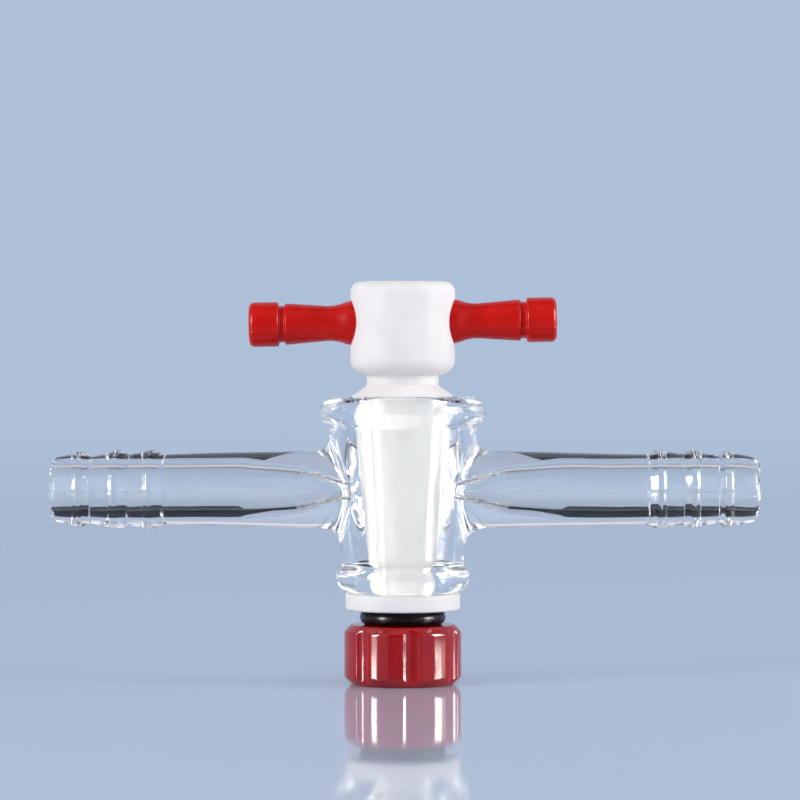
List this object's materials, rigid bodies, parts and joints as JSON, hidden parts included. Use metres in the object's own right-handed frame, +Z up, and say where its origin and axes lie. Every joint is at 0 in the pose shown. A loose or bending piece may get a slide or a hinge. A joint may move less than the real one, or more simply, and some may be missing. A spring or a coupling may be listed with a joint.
{
  "type": "glass stopcock",
  "caption": "Two-way glass stopcock: tapered glass barrel with two barbed hose arms, a turning white key with a red T-handle, and a washer, ring and nut that hold the key in.",
  "frame": {"origin": "centre of the tension nut's lower face, on the key's axis; the stopcock stands on that face", "axes": "+Z up the key's axis towards the T-handle, X along the two arms and the handle, the front faces -Y"},
  "size_m": [0.1014, 0.0238, 0.0573],
  "materials": {
    "glass": "clear borosilicate glass, fire-polished",
    "ptfe": "turned white PTFE, satin",
    "handle_red": "moulded bright red plastic, gloss",
    "nut_red": "moulded crimson plastic, gloss",
    "rubber_black": "moulded black rubber, semi-gloss"
  },
  "bodies": {
    "glass": {"glass_body": "glass"},
    "key": {"plug": "ptfe", "t_handle": "handle_red"},
    "seal": {"washer": "ptfe", "o_ring": "rubber_black"},
    "nut": {"tension_nut": "nut_red"}
  },
  "joints": [
    {"name": "key_turn", "type": "hinge", "parent": "glass", "child": "key", "pos_m": [0, 0, 0.0277], "axis": [0, 0, 1], "continuous": true},
    {"name": "nut_travel", "type": "slide", "parent": "key", "child": "seal", "axis": [0, 0, 1], "range_m": [-0.006, 0]},
    {"name": "nut_turn", "type": "hinge", "parent": "seal", "child": "nut", "pos_m": [0, 0, 0.00425], "axis": [0, 0, 1], "range_deg": [-1440, 0]}
  ],
  "couplings": [
    {"joint": "nut_travel", "follows": "nut_turn", "m_per_rad": 0.00023873}
  ]
}
